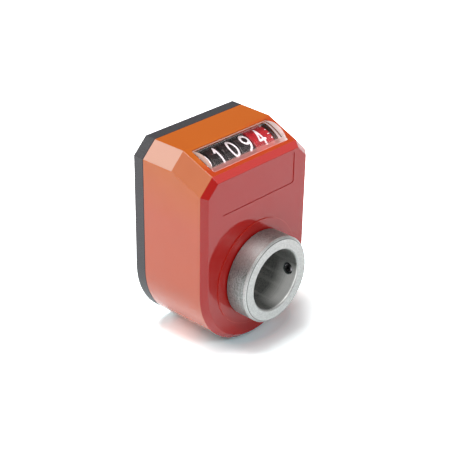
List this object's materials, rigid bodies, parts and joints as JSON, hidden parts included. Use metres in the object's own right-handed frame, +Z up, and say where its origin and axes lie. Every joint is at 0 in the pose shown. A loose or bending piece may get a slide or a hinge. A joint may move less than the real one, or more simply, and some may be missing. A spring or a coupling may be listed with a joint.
{
  "type": "mechanical position indicator",
  "caption": "Digital position indicator with a hollow shaft through it: shaft revolutions turn number drums behind a window in the sloped top of a moulded housing.",
  "frame": {"origin": "on the hollow shaft's axis at the rear mounting face", "axes": "+Y along the shaft axis out of the back, into the machine; +Z up towards the window; +X to the right for a reader in front"},
  "size_m": [0.048, 0.0467, 0.067],
  "materials": {
    "case_plastic": "glossy moulded orange-red",
    "base_plastic": "black, fine eroded texture",
    "clear_plastic": "clear polished plastic",
    "seal_rubber": "black rubber",
    "zinc_steel": "zinc plated",
    "frame_plastic": "natural beige moulded",
    "turned_steel": "turned and passivated, fine lathe lines",
    "white_plastic": "white acetal",
    "washer_brass": "plain",
    "black_steel": "black oxide",
    "drum_red": "moulded crimson",
    "drum_black": "moulded black",
    "plate_plastic": "black moulded"
  },
  "bodies": {
    "housing": {"case": "case_plastic", "base": "base_plastic", "window": "clear_plastic", "front_seal": "seal_rubber", "rear_seal": "seal_rubber", "base_screws": "zinc_steel", "frame_screws": "zinc_steel", "bracket_screws": "zinc_steel", "counter_frame": "frame_plastic", "pinion_bracket": "frame_plastic", "pinion_arbor": "turned_steel", "idler_stud": "turned_steel", "retaining_clips": "zinc_steel", "carry_plate_1": "plate_plastic", "carry_plate_2": "plate_plastic", "carry_plate_3": "plate_plastic", "carry_plate_4": "plate_plastic"},
    "shaft": {"hollow_shaft": "turned_steel", "crown_gear": "white_plastic", "thrust_washer": "washer_brass"},
    "set_screw": {"set_screw": "black_steel"},
    "drive_pinion": {"drive_pinion": "white_plastic"},
    "idler_gear": {"idler_gear": "white_plastic"},
    "units_drum": {"drum_units": "drum_red", "drum_axle": "turned_steel", "drum_gear": "white_plastic"},
    "tens_drum": {"drum_tens": "drum_black"},
    "hundreds_drum": {"drum_hundreds": "drum_black"},
    "thousands_drum": {"drum_thousands": "drum_black"},
    "ten_thousands_drum": {"drum_ten_thousands": "drum_black"},
    "carry_1": {"carry_pinion_1": "white_plastic"},
    "carry_2": {"carry_pinion_2": "white_plastic"},
    "carry_3": {"carry_pinion_3": "white_plastic"},
    "carry_4": {"carry_pinion_4": "white_plastic"}
  },
  "joints": [
    {"name": "shaft_spin", "type": "hinge", "parent": "housing", "child": "shaft", "pos_m": [0, -0.018, 0], "axis": [0, 1, 0], "continuous": true},
    {"name": "set_screw_travel", "type": "slide", "parent": "shaft", "child": "set_screw", "axis": [0.989, 0, -0.1478], "range_m": [0, 0.003]},
    {"name": "pinion_spin", "type": "hinge", "parent": "housing", "child": "drive_pinion", "pos_m": [0.017, -0.01421, 0], "axis": [1, 0, 0], "continuous": true},
    {"name": "idler_spin", "type": "hinge", "parent": "housing", "child": "idler_gear", "pos_m": [0.019, -0.01561, 0.01445], "axis": [1, 0, 0], "continuous": true},
    {"name": "units_spin", "type": "hinge", "parent": "housing", "child": "units_drum", "pos_m": [0.00905, -0.01702, 0.0289], "axis": [1, 0, 0], "continuous": true},
    {"name": "tens_spin", "type": "hinge", "parent": "housing", "child": "tens_drum", "pos_m": [0.00295, -0.01702, 0.0289], "axis": [1, 0, 0], "continuous": true},
    {"name": "hundreds_spin", "type": "hinge", "parent": "housing", "child": "hundreds_drum", "pos_m": [-0.00315, -0.01702, 0.0289], "axis": [1, 0, 0], "continuous": true},
    {"name": "thousands_spin", "type": "hinge", "parent": "housing", "child": "thousands_drum", "pos_m": [-0.00925, -0.01702, 0.0289], "axis": [1, 0, 0], "continuous": true},
    {"name": "ten_thousands_spin", "type": "hinge", "parent": "housing", "child": "ten_thousands_drum", "pos_m": [-0.01535, -0.01702, 0.0289], "axis": [1, 0, 0], "continuous": true},
    {"name": "carry_1_spin", "type": "hinge", "parent": "housing", "child": "carry_1", "pos_m": [0.006, -0.01212, 0.0289], "axis": [1, 0, 0], "continuous": true},
    {"name": "carry_2_spin", "type": "hinge", "parent": "housing", "child": "carry_2", "pos_m": [-0.0001, -0.01212, 0.0289], "axis": [1, 0, 0], "continuous": true},
    {"name": "carry_3_spin", "type": "hinge", "parent": "housing", "child": "carry_3", "pos_m": [-0.0062, -0.01212, 0.0289], "axis": [1, 0, 0], "continuous": true},
    {"name": "carry_4_spin", "type": "hinge", "parent": "housing", "child": "carry_4", "pos_m": [-0.0123, -0.01212, 0.0289], "axis": [1, 0, 0], "continuous": true}
  ],
  "couplings": [
    {"joint": "pinion_spin", "follows": "shaft_spin", "ratio": -4},
    {"joint": "idler_spin", "follows": "shaft_spin", "ratio": 2.6667},
    {"joint": "units_spin", "follows": "shaft_spin", "ratio": -4},
    {"joint": "tens_spin", "follows": "shaft_spin", "ratio": -0.4},
    {"joint": "hundreds_spin", "follows": "shaft_spin", "ratio": -0.04},
    {"joint": "thousands_spin", "follows": "shaft_spin", "ratio": -0.004},
    {"joint": "ten_thousands_spin", "follows": "shaft_spin", "ratio": -0.0004},
    {"joint": "carry_1_spin", "follows": "shaft_spin", "ratio": -1.3333},
    {"joint": "carry_2_spin", "follows": "shaft_spin", "ratio": -0.13333},
    {"joint": "carry_3_spin", "follows": "shaft_spin", "ratio": -0.013333},
    {"joint": "carry_4_spin", "follows": "shaft_spin", "ratio": -0.0013333}
  ]
}
